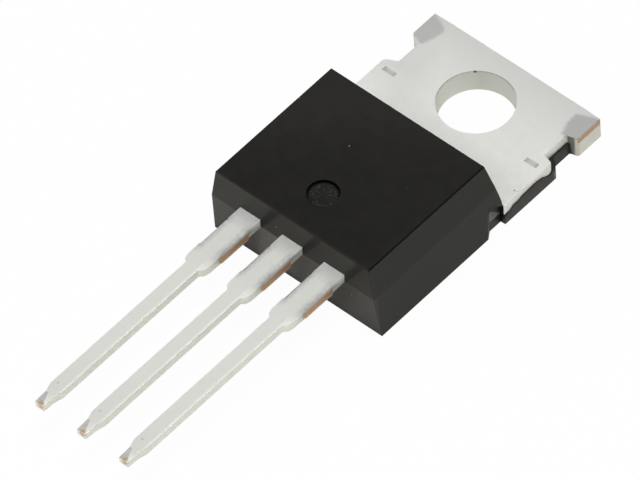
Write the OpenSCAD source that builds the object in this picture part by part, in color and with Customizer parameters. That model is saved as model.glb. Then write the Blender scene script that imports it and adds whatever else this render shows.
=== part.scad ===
// Power transistor in a three-lead flange package, lying on the back of its tab.
// Millimetres. The origin is the centre of the mounting hole on the back face,
// +X is right seen from the marked face, +Y is the tab end and +Z is the marked face.

/* [Mould body] */
// Width of the body across its back face
body_width = 10.18; // [9.9:0.01:10.6]
// How far each side leans in from the back face to the parting line
back_draft = 0.17; // [0.05:0.01:0.25]
// How far each side leans in from the parting line to the front face
side_draft = 0.285; // [0.1:0.005:0.4]
// Length of the body from its lead end to its foot on the tab
body_length = 8.72; // [8.5:0.01:9.4]
// Height of the front face above the mounting plane
body_height = 4.41; // [4.2:0.01:4.7]
// Height of the parting line above the underside of the leads
parting_rise = 0.06; // [0:0.01:0.2]
// How far the front edge lies behind the parting line at the lead end
lead_end_setback = 0.08; // [0.02:0.01:0.4]
// How far the back edge lies behind the parting line at the lead end
back_setback = 0.21; // [0.05:0.01:0.4]
// How far the front edge leans back from the foot at the tab end
tab_end_setback = 0.69; // [0.3:0.01:1]
// Height of the upright foot of the body on the tab
foot_height = 0.34; // [0.1:0.01:0.6]
// How far the upright foot leans back
foot_draft = 0.03; // [0.01:0.01:0.1]
// Diameter of the ejector mark in the front face
ejector_diameter = 1.56; // [1:0.02:2.4]
// Depth of the ejector mark
ejector_depth = 0.09; // [0.03:0.01:0.2]
// Distance of the ejector mark from the lead end
ejector_to_end = 2.24; // [1.6:0.01:3]

/* [Side strips and pockets] */
// Height of the moulded strip along each side of the tab
strip_height = 0.72; // [0.66:0.01:0.9]
// How far the strip stands proud of the floor of the side notch
strip_in_notch = 0.13; // [0.05:0.01:0.25]
// How far the strip reaches past the shoulder of the tab into the notch
strip_reach = 0.22; // [0.1:0.01:0.6]
// Length of the cut corner at the end of the broad part of the strip
strip_corner = 0.18; // [0.1:0.01:0.3]
// Length of the ramp from the cut corner to the floor of the notch
strip_ramp = 0.29; // [0.1:0.01:0.5]
// How far the strip spreads along the inner wall of the ear
strip_toe = 0.17; // [0.05:0.01:0.25]
// Length of the clamp pocket along the side of the body
pocket_length = 1.18; // [0.8:0.01:1.6]
// Length of the pocket floor, where the side of the metal shows
pocket_floor = 0.75; // [0.4:0.01:0.78]
// How far the roof of the pocket rises above the tab at its deep end
pocket_rise = 0.9; // [0.4:0.01:1.2]

/* [Tab] */
// How far each side of the tab lies inside the back edge of the body
tab_inset = 0.07; // [0.02:0.01:0.2]
// Thickness of the tab and of the plate under the chip
tab_thickness = 1.26; // [1.15:0.01:1.4]
// Diameter of the mounting hole
hole_diameter = 3.72; // [3.4:0.01:4]
// Distance of the hole centre from the end of the tab
hole_to_edge = 2.88; // [2.5:0.01:3.2]
// Distance of the hole centre from the foot of the body
hole_to_body = 3.87; // [3.4:0.01:4.2]
// Length of each ear along the side of the tab
ear_length = 1.57; // [1.2:0.01:1.8]
// Slope of the inner wall of the ear, as a step along the tab
ear_slope = 0.15; // [0:0.01:0.4]
// Depth of the notch in the right side of the tab
notch_depth = 0.56; // [0.3:0.01:0.7]
// How much deeper the notch in the left side is
left_notch_extra = 0.08; // [0.01:0.01:0.15]
// Distance of the near wall of the notches from the end of the tab, at their floor
notch_end = 3.25; // [3.2:0.01:3.8]
// Slope of the near wall of the right notch, as a step along the tab
right_notch_slope = 0.16; // [0.05:0.01:0.4]
// Slope of the near wall of the left notch, as a step along the tab
left_notch_slope = 0.32; // [0.05:0.01:0.4]
// Radius of the shoulder below the right notch
right_shoulder_radius = 0.1; // [0.05:0.01:0.35]
// Radius of the shoulder below the left notch
left_shoulder_radius = 0.3; // [0.05:0.01:0.35]
// Radius in the inner corner of the notches
notch_fillet = 0.15; // [0.05:0.01:0.2]
// Length of each punch mark beside the hole
punch_length = 0.72; // [0.4:0.01:1]
// Width of each punch mark
punch_width = 0.26; // [0.15:0.01:0.4]
// Depth of each punch mark
punch_depth = 0.06; // [0.02:0.01:0.12]
// Distance of the punch marks from the sides of the tab
punch_to_side = 0.7; // [0.5:0.01:1]
// Distance of the punch marks below the hole centre
punch_to_hole = 1.1; // [0.9:0.01:1.6]

/* [Plate under the chip] */
// How far the plate inside the body is narrower than the tab on each side
plate_inset = 0.22; // [0.2:0.01:0.5]
// Width of the moulded-in step along each side of the bare metal
step_width = 0.77; // [0.6:0.01:1.2]
// Height of the moulded-in step
step_height = 0.62; // [0.4:0.01:0.65]
// Distance of the plate from the lead end of the body, where the centre lead bends up
plate_to_end = 2.02; // [1.9:0.01:2.3]
// How far the plate reaches past the bare metal at the lead end
plate_lip = 0.5; // [0.3:0.01:0.6]
// Width of the locking groove across the plate
groove_width = 0.5; // [0.3:0.01:0.6]
// Depth of the locking groove
groove_depth = 0.2; // [0.1:0.01:0.25]
// Distance of the locking groove from the foot of the body
groove_to_foot = 0.95; // [0.7:0.01:1.1]

/* [Leads] */
// Distance between neighbouring leads
lead_pitch = 2.54; // [2.4:0.01:2.6]
// Height of the underside of the leads above the mounting plane
lead_height = 2.58; // [2.4:0.01:2.62]
// Thickness of the leads
lead_thickness = 0.5; // [0.4:0.01:0.55]
// Length of the leads from the body to their tips
lead_length = 14.26; // [12:0.01:15]
// Width of the leads where they leave the body
root_width = 1.22; // [1.1:0.01:1.3]
// Width of the leads across the cut stubs of the dam bar
dam_bar_width = 1.36; // [1.32:0.01:1.5]
// Distance of the dam bar stubs from the body
dam_bar_start = 0.78; // [0.4:0.01:1.2]
// Length of the dam bar stubs
dam_bar_length = 1.9; // [1.4:0.01:2]
// Width of the wide part of the leads past the dam bar
shank_width = 1.28; // [1.2:0.01:1.3]
// Distance of the shoulder of the leads from the body
shoulder_start = 3.48; // [3.3:0.01:4]
// Length of the first slope of the shoulder
shoulder_slope = 0.3; // [0.1:0.01:0.5]
// Width of the leads at the end of the first slope
shoulder_width = 1.14; // [0.95:0.01:1.2]
// Length of the second, steeper slope of the shoulder
shoulder_step = 0.17; // [0.05:0.01:0.4]
// Width of the narrow part of the leads
pin_width = 0.78; // [0.65:0.01:0.9]
// Length of the pressed point at the end of each lead
point_length = 1.2; // [0.8:0.01:1.6]
// Length of the taper at the start of the point
point_taper = 0.47; // [0.2:0.01:0.7]
// Width of the point
point_width = 0.54; // [0.4:0.01:0.6]
// How far the point is pressed in at its front and at its back
point_press = 0.06; // [0.02:0.01:0.12]

/* [Lead posts inside the body] */
// Length of the posts along the leads
post_length = 1.4; // [1.1:0.01:1.5]
// Cut corner of the posts
post_corner = 0.3; // [0.1:0.01:0.4]
// Cover of mould compound between the posts and the lead end
post_cover = 0.6; // [0.4:0.01:0.7]
// Width of the gate post
gate_post_width = 2; // [1.6:0.01:2.2]
// Width of the source post
source_post_width = 2.9; // [2.4:0.01:3]
// How far the source post is moved outwards from its lead
source_post_shift = 0.25; // [0:0.01:0.35]
// Diameter of the compound lock hole in each post
lock_hole = 0.4; // [0.3:0.01:0.5]
// Width of the bend that joins the centre lead to the plate
bend_width = 1.3; // [1:0.01:1.4]
// Length of the flat at the foot of the bend
bend_foot = 0.35; // [0.25:0.01:0.4]
// Length along the leads over which the bend rises
bend_run = 0.85; // [0.7:0.01:0.9]
// How far the flats of the bend reach past its corners on the outside
bend_corner = 0.17; // [0.1:0.01:0.2]

/* [Chip and wires] */
// Width of the chip
chip_width = 4.4; // [3:0.01:5.5]
// Length of the chip
chip_length = 3.4; // [2.8:0.01:3.6]
// Thickness of the chip
chip_thickness = 0.22; // [0.15:0.01:0.3]
// Distance of the chip centre from the end of the plate
chip_to_end = 3.05; // [2.8:0.01:3.3]
// Thickness of the solder under the chip
solder_thickness = 0.05; // [0.03:0.01:0.1]
// How far the solder spreads past the chip
solder_margin = 0.15; // [0.05:0.01:0.3]
// Diameter of the source bond wires
source_wire = 0.38; // [0.25:0.01:0.42]
// Distance between the source bond wires
source_wire_pitch = 0.82; // [0.7:0.01:0.9]
// Distance of the middle source wire from the chip centre, across the part
source_pad_across = 0.55; // [0.3:0.01:0.7]
// Distance of the source wires from the chip centre, along the part
source_pad_along = 0.42; // [0.2:0.01:0.8]
// Diameter of the gate bond wire
gate_wire = 0.2; // [0.12:0.01:0.3]
// Distance of the gate wire from the side of the chip
gate_pad_to_side = 0.4; // [0.3:0.01:0.6]
// Distance of the gate wire from the end of the chip
gate_pad_to_end = 0.7; // [0.5:0.01:0.9]
// Length of the pressed foot at each end of a wire
wire_foot = 0.5; // [0.3:0.01:0.55]
// How far the wires rise above a straight run between their feet
wire_rise = 1.1; // [0.95:0.01:1.25]

/* [Hidden] */
$fn = 64;

// Spare length of a cutting shape past the face that it cuts
spare = 0.5;
// Overlap of two shapes that are joined into one piece
overlap = 0.1;
// Number of straight steps in the small arcs of an outline
ARC_STEPS = 6;

// Places across the part
body_side = body_width / 2;
parting_side = body_side - back_draft;
front_side = parting_side - side_draft;
tab_side = body_side - tab_inset;
notch_floor = tab_side - notch_depth;
plate_side = tab_side - plate_inset;
bare_side = tab_side - step_width;

// Places along the tab and the leads
tab_end_y = hole_to_edge;
foot_y = -hole_to_body;
lead_end_y = foot_y - body_length;
plate_end_y = lead_end_y + plate_to_end;
bare_end_y = plate_end_y + plate_lip;
tip_y = lead_end_y - lead_length;
point_y = tip_y + point_length;
notch_near_y = tab_end_y - notch_end;
ear_inner_y = tab_end_y - ear_length - ear_slope;

// Heights
parting_height = lead_height + parting_rise;
lead_top = lead_height + lead_thickness;
solder_top = tab_thickness + solder_thickness;
chip_top = solder_top + chip_thickness;

// Chip and posts
chip_y = plate_end_y + chip_to_end;
post_y = lead_end_y + post_cover;
post_middle_y = post_y + post_length / 2;
source_post_x = lead_pitch + source_post_shift;

// Bond wires: sides and steps of a wire, and the shares of its radius by which
// a pressed foot is wider, is lower and has its middle above the pad
WIRE_SIDES = 10;
WIRE_STEPS = 14;
FOOT_SPREAD = 1.25;
FOOT_PRESS = 0.62;
FOOT_MIDDLE = 0.37;

function flipped(points) = [for (i = [len(points) - 1:-1:0]) [-points[i].x, points[i].y]];

function arc(centre, radius, from, to) =
    [for (i = [0:ARC_STEPS]) let (a = from + (to - from) * i / ARC_STEPS)
        centre + radius * [cos(a), sin(a)]];

// Both sides of an outline from the points of its right side, listed from +Y to -Y.
module both_sides(right) {
    polygon(concat(right, flipped(right)));
}

// Extrudes a side view, drawn as [y, z] points, across the part.
module across(width) {
    rotate([90, 0, 90])
        translate([0, 0, -width / 2])
            linear_extrude(width)
                children();
}

// Extrudes an end view, drawn as [x, z] points, from one place to another along Y.
module along(from_y, to_y) {
    translate([0, to_y, 0])
        rotate([90, 0, 0])
            linear_extrude(to_y - from_y)
                children();
}

// A bar through rectangular sections, each [y, half width, bottom, top], listed from +Y to -Y.
module bar(sections) {
    last = len(sections) - 1;
    points = [for (s = sections)
        each [[-s[1], s[0], s[2]], [s[1], s[0], s[2]], [s[1], s[0], s[3]], [-s[1], s[0], s[3]]]];
    sides = [for (i = [0:last - 1], k = [0:3])
        [4 * i + k, 4 * (i + 1) + k, 4 * (i + 1) + (k + 1) % 4, 4 * i + (k + 1) % 4]];
    near_end = [[0, 1, 2, 3]];
    far_end = [[for (k = [3:-1:0]) 4 * last + k]];
    polyhedron(points, concat(near_end, sides, far_end));
}

// The tab and the plate under the chip

// One side of the tab, listed from +Y to -Y, with the depth and the slope of its notch.
function tab_side_outline(depth, slope, shoulder_radius) =
    let (
        lean = atan2(slope, depth),
        floor_x = tab_side - depth,
        fillet_x = floor_x + notch_fillet,
        shoulder_x = tab_side - shoulder_radius,
        fillet_y = notch_near_y - notch_fillet * tan(lean) + notch_fillet / cos(lean),
        shoulder_y = notch_near_y - (shoulder_x - floor_x) * tan(lean) - shoulder_radius / cos(lean)
    )
    concat(
        [[tab_side, tab_end_y],
         [tab_side, tab_end_y - ear_length],
         [floor_x, ear_inner_y]],
        arc([fillet_x, fillet_y], notch_fillet, 180, 270 - lean),
        arc([shoulder_x, shoulder_y], shoulder_radius, 90 - lean, 0),
        [[tab_side, foot_y],
         [plate_side, foot_y],
         [plate_side, plate_end_y]]
    );

module tab_outline() {
    right = tab_side_outline(notch_depth, right_notch_slope, right_shoulder_radius);
    left = tab_side_outline(notch_depth + left_notch_extra, left_notch_slope, left_shoulder_radius);
    polygon(concat(right, flipped(left)));
}

// The step that the mould compound fills, all round the bare metal below the ears.
module plate_step() {
    translate([0, 0, -spare])
        linear_extrude(step_height + spare)
            difference() {
                translate([-tab_side - spare, plate_end_y - spare])
                    square([2 * (tab_side + spare), ear_inner_y - plate_end_y + spare]);
                translate([-bare_side, bare_end_y])
                    square([2 * bare_side, tab_end_y - bare_end_y]);
            }
}

module locking_groove() {
    across(2 * body_side)
        translate([foot_y - groove_to_foot, tab_thickness])
            polygon([[-groove_width / 2, 0], [0, -groove_depth], [groove_width / 2, 0],
                     [groove_width / 2, spare], [-groove_width / 2, spare]]);
}

module punch_marks() {
    for (side = [-1, 1])
        translate([side * (tab_side - punch_to_side), -punch_to_hole, tab_thickness - punch_depth])
            linear_extrude(punch_depth + spare)
                square([punch_length, punch_width], center = true);
}

// The bend that carries the centre lead from the plate up to the height of the leads.
module centre_bend() {
    foot_end = plate_end_y - bend_foot;
    top_start = foot_end - bend_run;
    low = tab_thickness - lead_thickness;
    across(bend_width)
        polygon([
            [plate_end_y + overlap, low],
            [plate_end_y + overlap, tab_thickness],
            [foot_end + bend_corner, tab_thickness],
            [top_start + bend_corner, lead_top],
            [top_start - overlap, lead_top],
            [top_start - overlap, lead_height],
            [top_start - bend_corner, lead_height],
            [foot_end - bend_corner, low]
        ]);
}

module heat_sink_tab() {
    color("gainsboro") {
        difference() {
            linear_extrude(tab_thickness) tab_outline();
            translate([0, 0, -spare])
                cylinder(d = hole_diameter, h = tab_thickness + 2 * spare);
            plate_step();
            locking_groove();
            punch_marks();
        }
        centre_bend();
        lead(plate_end_y - bend_foot - bend_run);
    }
}

// The leads

function lead_right_side(start_y) =
    let (
        bar_y = lead_end_y - dam_bar_start,
        bar_end_y = bar_y - dam_bar_length,
        slope_y = lead_end_y - shoulder_start,
        step_y = slope_y - shoulder_slope
    )
    [
        [root_width / 2, start_y],
        [root_width / 2, bar_y],
        [dam_bar_width / 2, bar_y - (dam_bar_width - root_width)],
        [dam_bar_width / 2, bar_end_y],
        [shank_width / 2, bar_end_y - (dam_bar_width - shank_width)],
        [shank_width / 2, slope_y],
        [shoulder_width / 2, step_y],
        [pin_width / 2, step_y - shoulder_step],
        [pin_width / 2, point_y]
    ];

// A lead from a place inside the body to its pressed point.
module lead(start_y) {
    translate([0, 0, lead_height])
        linear_extrude(lead_thickness) both_sides(lead_right_side(start_y));
    bar([
        [point_y + overlap, pin_width / 2, lead_height, lead_top],
        [point_y, pin_width / 2, lead_height, lead_top],
        [point_y - point_taper, point_width / 2, lead_height, lead_top],
        [tip_y, point_width / 2, lead_height + point_press, lead_top - point_press]
    ]);
}

// The broad end of a lead inside the body, on which the wires are bonded.
module post(width, shift) {
    translate([shift, 0, lead_height])
        linear_extrude(lead_thickness)
            both_sides([
                [width / 2 - post_corner, post_y + post_length],
                [width / 2, post_y + post_length - post_corner],
                [width / 2, post_y + post_corner],
                [width / 2 - post_corner, post_y]
            ]);
}

module lead_with_post(x, width, shift) {
    translate([x, 0, 0])
        difference() {
            union() {
                lead(post_y + overlap);
                post(width, shift);
            }
            translate([0, post_y + lock_hole, lead_height - spare])
                cylinder(d = lock_hole, h = lead_thickness + 2 * spare);
        }
}

module gate_lead() {
    color("silver") lead_with_post(-lead_pitch, gate_post_width, 0);
}

module source_lead() {
    color("silver") lead_with_post(lead_pitch, source_post_width, source_post_shift);
}

// The chip and what joins it to the plate and the posts

module chip_layer(bottom, thickness, margin) {
    translate([-chip_width / 2 - margin, chip_y - chip_length / 2 - margin, bottom])
        cube([chip_width + 2 * margin, chip_length + 2 * margin, thickness]);
}

module silicon_chip() {
    color("slategray") chip_layer(solder_top, chip_thickness, 0);
}

module chip_solder() {
    color("darkgray") chip_layer(tab_thickness, solder_thickness, solder_margin);
}

// Height of the middle of a wire at a share t of its run between two feet.
function wire_height(t, low, high) = low + (high - low) * t + 4 * wire_rise * t * (1 - t);

// A ring of a wire round a point. Nothing of it reaches below the floor.
function wire_ring(middle, sideways, tilt, half_width, half_height, floor) =
    [for (k = [0:WIRE_SIDES - 1])
        let (
            a = 360 * (k + 0.5) / WIRE_SIDES,
            up = half_height * sin(a),
            p = middle + sideways * (half_width * cos(a))
        )
        [p.x + sideways.y * up * sin(tilt), p.y - sideways.x * up * sin(tilt),
         max(p.z + up * cos(tilt), floor)]];

// A bond wire from a point on the chip to a point on a post, each [x, y], with a pressed foot on both.
module bond_wire(diameter, from, to) {
    run = norm(to - from);
    ahead = (to - from) / run;
    sideways = [ahead.y, -ahead.x, 0];
    loop = run - 2 * wire_foot;
    low = chip_top + diameter / 2 * FOOT_MIDDLE;
    high = lead_top + diameter / 2 * FOOT_MIDDLE;
    loop_stations = [for (i = [0:WIRE_STEPS]) let (t = i / WIRE_STEPS)
        [wire_foot + loop * t, wire_height(t, low, high)]];
    stations = concat([[0, low]], loop_stations, [[run, high]]);
    last = len(stations) - 1;
    rings = [for (i = [0:last])
        let (
            before = stations[max(i - 1, 0)],
            after = stations[min(i + 1, last)],
            tilt = atan2(after[1] - before[1], after[0] - before[0]),
            at_foot = i < 2 || i > last - 2,
            half = diameter / 2
        )
        wire_ring(
            [from.x + ahead.x * stations[i][0], from.y + ahead.y * stations[i][0], stations[i][1]],
            sideways,
            at_foot ? 0 : tilt,
            half * (at_foot ? FOOT_SPREAD : 1),
            half * (at_foot ? FOOT_PRESS : 1),
            i < last / 2 ? chip_top : stations[i][0] > run - 2 * wire_foot ? lead_top : 0
        )];
    points = [for (ring = rings) each ring];
    sides = [for (i = [0:last - 1], k = [0:WIRE_SIDES - 1])
        let (
            a = WIRE_SIDES * i + k,
            b = WIRE_SIDES * i + (k + 1) % WIRE_SIDES
        )
        each [[a, b, b + WIRE_SIDES], [a, b + WIRE_SIDES, a + WIRE_SIDES]]];
    near_end = [[for (k = [WIRE_SIDES - 1:-1:0]) k]];
    far_end = [[for (k = [0:WIRE_SIDES - 1]) WIRE_SIDES * last + k]];
    polyhedron(points, concat(near_end, sides, far_end));
}

module gate_bond_wire() {
    color("whitesmoke")
        bond_wire(gate_wire,
                  [gate_pad_to_side - chip_width / 2, chip_y - chip_length / 2 + gate_pad_to_end],
                  [-lead_pitch, post_middle_y]);
}

// Source wire number 1 is the one next to the middle of the part.
module source_bond_wire(number) {
    offset_x = (number - 2) * source_wire_pitch;
    color("whitesmoke")
        bond_wire(source_wire,
                  [source_pad_across + offset_x, chip_y + source_pad_along],
                  [source_post_x + offset_x, post_middle_y - wire_foot / 2]);
}

// The mould body

// The two drafted outlines of the body, crossed: its end view and its side view.
module body_block() {
    intersection() {
        along(lead_end_y - spare, foot_y + spare)
            polygon([
                [-body_side, 0], [body_side, 0],
                [parting_side, parting_height], [front_side, body_height],
                [-front_side, body_height], [-parting_side, parting_height]
            ]);
        across(body_width + 2 * spare)
            polygon([
                [lead_end_y + back_setback, 0],
                [foot_y, 0],
                [foot_y, tab_thickness],
                [foot_y - foot_draft, tab_thickness + foot_height],
                [foot_y - tab_end_setback, body_height],
                [lead_end_y + lead_end_setback, body_height],
                [lead_end_y, parting_height]
            ]);
    }
}

// The strip of compound that fills the step along each side of the tab.
module side_strip() {
    root = bare_side - overlap;
    narrow = notch_floor + strip_in_notch;
    reach_y = notch_near_y + strip_reach;
    linear_extrude(strip_height)
        polygon([
            [root, foot_y - overlap],
            [plate_side, foot_y - overlap],
            [plate_side, foot_y],
            [body_side, foot_y],
            [body_side, reach_y - strip_corner],
            [body_side - strip_corner, reach_y],
            [narrow, reach_y + strip_ramp],
            [narrow, ear_inner_y],
            [narrow + strip_toe, ear_inner_y + strip_toe],
            [root, ear_inner_y + strip_toe]
        ]);
}

// The pocket in each lower side of the body, where the mould held the tab.
module clamp_pocket() {
    slope = (pocket_length - pocket_floor) / (body_side - plate_side);
    reach = body_side - plate_side + spare;
    intersection() {
        translate([0, 0, -spare])
            linear_extrude(body_height)
                polygon([
                    [plate_side, foot_y],
                    [plate_side, foot_y - pocket_floor],
                    [plate_side + reach, foot_y - pocket_floor - slope * reach],
                    [plate_side + reach, foot_y]
                ]);
        across(4 * body_width)
            polygon([
                [foot_y - 2 * pocket_length, -spare],
                [foot_y + overlap, -spare],
                [foot_y + overlap, tab_thickness],
                [foot_y, tab_thickness],
                [foot_y - pocket_length, tab_thickness + pocket_rise],
                [foot_y - 2 * pocket_length, tab_thickness + pocket_rise]
            ]);
    }
}

module ejector_mark() {
    translate([0, lead_end_y + ejector_to_end, body_height - ejector_depth])
        cylinder(d = ejector_diameter, h = ejector_depth + spare);
}

module mould_body() {
    color([0.13, 0.13, 0.13])
        difference() {
            union() {
                body_block();
                side_strip();
                mirror([1, 0, 0]) side_strip();
            }
            clamp_pocket();
            mirror([1, 0, 0]) clamp_pocket();
            ejector_mark();
            heat_sink_tab();
            gate_lead();
            source_lead();
            silicon_chip();
            chip_solder();
            gate_bond_wire();
            for (number = [1:3]) source_bond_wire(number);
        }
}

mould_body();
heat_sink_tab();
gate_lead();
source_lead();
silicon_chip();
chip_solder();
gate_bond_wire();
for (number = [1:3])
    source_bond_wire(number);
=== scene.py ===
"""A power transistor in a three-lead flange package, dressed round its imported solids.

Lengths are in millimetres in the sizes below and in metres in the meshes. The frame is the part's own:
the origin is the mounting hole on the back face, +Y is the tab end and +Z is the front face.
"""

import logging
import math
from dataclasses import dataclass, field
from enum import Enum
from typing import Callable

import bmesh
import bpy
from mathutils import Matrix, Vector


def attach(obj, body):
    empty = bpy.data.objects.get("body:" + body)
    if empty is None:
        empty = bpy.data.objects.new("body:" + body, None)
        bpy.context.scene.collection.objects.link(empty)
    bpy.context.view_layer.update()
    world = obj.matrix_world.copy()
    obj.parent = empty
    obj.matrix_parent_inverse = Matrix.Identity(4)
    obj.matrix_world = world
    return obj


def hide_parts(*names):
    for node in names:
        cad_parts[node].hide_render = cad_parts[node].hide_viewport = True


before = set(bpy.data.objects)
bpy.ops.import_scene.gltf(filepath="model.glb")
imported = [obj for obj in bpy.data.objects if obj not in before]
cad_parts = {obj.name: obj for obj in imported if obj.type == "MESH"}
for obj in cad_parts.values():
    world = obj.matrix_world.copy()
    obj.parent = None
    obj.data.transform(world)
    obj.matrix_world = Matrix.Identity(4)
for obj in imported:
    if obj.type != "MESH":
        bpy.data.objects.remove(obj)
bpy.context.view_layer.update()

LOG = logging.getLogger("power_transistor")
MM = 0.001
BODY = "root"

Colour = tuple[float, float, float]
Point = tuple[float, float, float]
Span = tuple[float, float]


class Pick(Enum):
    """What a selection holds."""

    VERTS = "VERT"
    EDGES = "EDGE"
    FACES = "FACE"


class Slot(Enum):
    """The material slots of the record."""

    COMPOUND = "mould_compound"
    TINNED = "tinned_copper"
    SILICON = "silicon"
    SOLDER = "solder"
    WIRE = "bond_wire"


class Signal:
    """A socket of a material. Arithmetic on it adds Math nodes."""

    def __init__(self, board: "Board", socket: bpy.types.NodeSocket) -> None:
        """Wraps a socket.

        Args:
            board: The material that the socket belongs to.
            socket: The output socket.
        """
        self.board = board
        self.socket = socket

    def also(self, output: int | str) -> "Signal":
        """Another output of the same node."""
        return Signal(self.board, self.socket.node.outputs[output])

    def math(self, operation: str, *operands: "Signal | float", clamp: bool = False) -> "Signal":
        """Adds one Math node.

        Args:
            operation: The name of the operation.
            operands: The node's inputs in order.
            clamp: Whether the result is held between 0 and 1.

        Returns:
            The result.
        """
        settings = {"operation": operation, "use_clamp": clamp}
        return self.board.node("ShaderNodeMath", settings, dict(enumerate(operands)))

    def __add__(self, other: "Signal | float") -> "Signal":
        """Sum."""
        return self.math("ADD", self, other)

    def __radd__(self, other: float) -> "Signal":
        """Sum with a number on the left."""
        return self.math("ADD", other, self)

    def __sub__(self, other: "Signal | float") -> "Signal":
        """Difference."""
        return self.math("SUBTRACT", self, other)

    def __rsub__(self, other: float) -> "Signal":
        """Difference from a number."""
        return self.math("SUBTRACT", other, self)

    def __mul__(self, other: "Signal | float") -> "Signal":
        """Product."""
        return self.math("MULTIPLY", self, other)

    def __rmul__(self, other: float) -> "Signal":
        """Product with a number on the left."""
        return self.math("MULTIPLY", other, self)

    def __abs__(self) -> "Signal":
        """Size without its sign."""
        return self.math("ABSOLUTE", self)

    def highest(self, other: "Signal | float") -> "Signal":
        """The larger of two."""
        return self.math("MAXIMUM", self, other)

    def root(self) -> "Signal":
        """Square root."""
        return self.math("SQRT", self)

    def within(self, low: float, high: float, soft: float) -> "Signal":
        """1 between two edges, 0 outside them, with ramps of a given width."""
        return self.above(low, soft) * self.below(high, soft)

    def above(self, edge: float, soft: float) -> "Signal":
        """0 below an edge, 1 above it, with a ramp of a given width between."""
        return self.math("MULTIPLY_ADD", self, 1 / soft, 0.5 - edge / soft, clamp=True)

    def below(self, edge: float, soft: float) -> "Signal":
        """1 below an edge, 0 above it, with a ramp of a given width between."""
        return self.math("MULTIPLY_ADD", self, -1 / soft, 0.5 + edge / soft, clamp=True)

    def from_nearest(self, pitch: float) -> "Signal":
        """The place from the middle of the nearest of three copies in a row, of which one is at 0."""
        counted = self + 1.5 * pitch
        return counted.math("MODULO", counted, pitch) - pitch / 2


def distance(*parts: Signal) -> Signal:
    """The length of a line, from its parts along the axes."""
    squares = [part * part for part in parts]
    return sum(squares[1:], squares[0]).root()


class Board:
    """The shader nodes of a material or of the sky."""

    MIX_INPUTS = {"factor": 0, "a": 6, "b": 7}
    MIX_RESULT = 2

    def __init__(self, owner: bpy.types.Material | bpy.types.World) -> None:
        """Clears the nodes of a material or a sky.

        Args:
            owner: The material or the sky.
        """
        owner.use_nodes = True
        self.owner = owner
        self.tree = owner.node_tree
        self.tree.nodes.clear()

    @classmethod
    def named(cls, name: str) -> "Board":
        """Starts an empty material of a given name."""
        return cls(bpy.data.materials.new(name))

    def add(self, kind: str, settings: dict | None = None, inputs: dict | None = None) -> bpy.types.Node:
        """Adds a node.

        Args:
            kind: The node's type.
            settings: Its properties, which are set first.
            inputs: The values or signals of its sockets, by name or number.

        Returns:
            The node.
        """
        made = self.tree.nodes.new(kind)
        for name, value in (settings or {}).items():
            setattr(made, name, value)
        for key, value in (inputs or {}).items():
            socket = made.inputs[key]
            if isinstance(value, Signal):
                self.tree.links.new(value.socket, socket)
            elif isinstance(value, tuple) and len(socket.default_value) > len(value):
                socket.default_value = (*value, 1.0)
            else:
                socket.default_value = value
        return made

    def node(self, kind: str, settings: dict | None = None, inputs: dict | None = None,
             output: int | str = 0) -> Signal:
        """Adds a node and takes one of its outputs."""
        return Signal(self, self.add(kind, settings, inputs).outputs[output])

    def place(self) -> Signal:
        """The point on the piece, in millimetres in the part's frame."""
        coordinates = self.node("ShaderNodeTexCoord", output="Object")
        return self.node("ShaderNodeVectorMath", {"operation": "SCALE"}, {0: coordinates, "Scale": 1 / MM})

    def axes(self, vector: Signal) -> tuple[Signal, Signal, Signal]:
        """The three parts of a vector."""
        x = self.node("ShaderNodeSeparateXYZ", inputs={0: vector})
        return x, x.also(1), x.also(2)

    def facing(self) -> tuple[Signal, Signal, Signal]:
        """The three parts of the surface's normal on the piece."""
        return self.axes(self.node("ShaderNodeTexCoord", output="Normal"))

    def noise(self, place: Signal, scale: float, detail: float = 2.0, roughness: float = 0.5) -> Signal:
        """Cloudy noise from 0 to 1.

        Args:
            place: The point on the piece.
            scale: Clouds in a millimetre.
            detail: Number of finer layers.
            roughness: Weight of the finer layers.

        Returns:
            The noise.
        """
        inputs = {"Vector": place, "Scale": scale, "Detail": detail, "Roughness": roughness}
        return self.node("ShaderNodeTexNoise", inputs=inputs)

    def ragged(self, place: Signal, scale: float, width: float, detail: float = 3.0,
               roughness: float = 0.7) -> Signal:
        """Noise about 0, which frays an edge over a given width."""
        return self.noise(place, scale, detail, roughness) * width - width / 2

    def stretched(self, place: Signal, scale: Point, turn: float = 0.0) -> Signal:
        """The point in a space that is turned about Z and then scaled."""
        inputs = {"Vector": place, "Rotation": (0.0, 0.0, turn), "Scale": scale}
        return self.node("ShaderNodeMapping", {"vector_type": "POINT"}, inputs)

    def mix(self, factor: Signal | float, first: Signal | Colour, second: Signal | Colour) -> Signal:
        """A colour between two."""
        sockets = self.MIX_INPUTS
        inputs = {sockets["factor"]: factor, sockets["a"]: first, sockets["b"]: second}
        return self.node("ShaderNodeMix", {"data_type": "RGBA"}, inputs, self.MIX_RESULT)

    def layered(self, ground: Colour, layers: tuple[tuple[Signal, Colour], ...]) -> Signal:
        """Lays colours over each other.

        Args:
            ground: The colour underneath.
            layers: The mask and the colour of each layer, from the lowest.

        Returns:
            The colour.
        """
        colour = ground
        for mask, tone in layers:
            colour = self.mix(mask, colour, tone)
        return colour

    def bump(self, height: Signal, depth: float) -> Signal:
        """A normal that is roughened by a height from 0 to 1, for a depth in millimetres."""
        return self.node("ShaderNodeBump", inputs={"Height": height, "Strength": 1.0, "Distance": depth * MM})

    def surface(self, inputs: dict) -> bpy.types.Material:
        """Ends the material in one Principled shader, whose sockets get given values or signals."""
        return self.end(self.node("ShaderNodeBsdfPrincipled", inputs=inputs))

    def end(self, shader: Signal) -> bpy.types.Material | bpy.types.World:
        """Joins a shader to the output of the material or the sky."""
        of_sky = isinstance(self.owner, bpy.types.World)
        self.add("ShaderNodeOutputWorld" if of_sky else "ShaderNodeOutputMaterial", inputs={"Surface": shader})
        return self.owner


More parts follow.
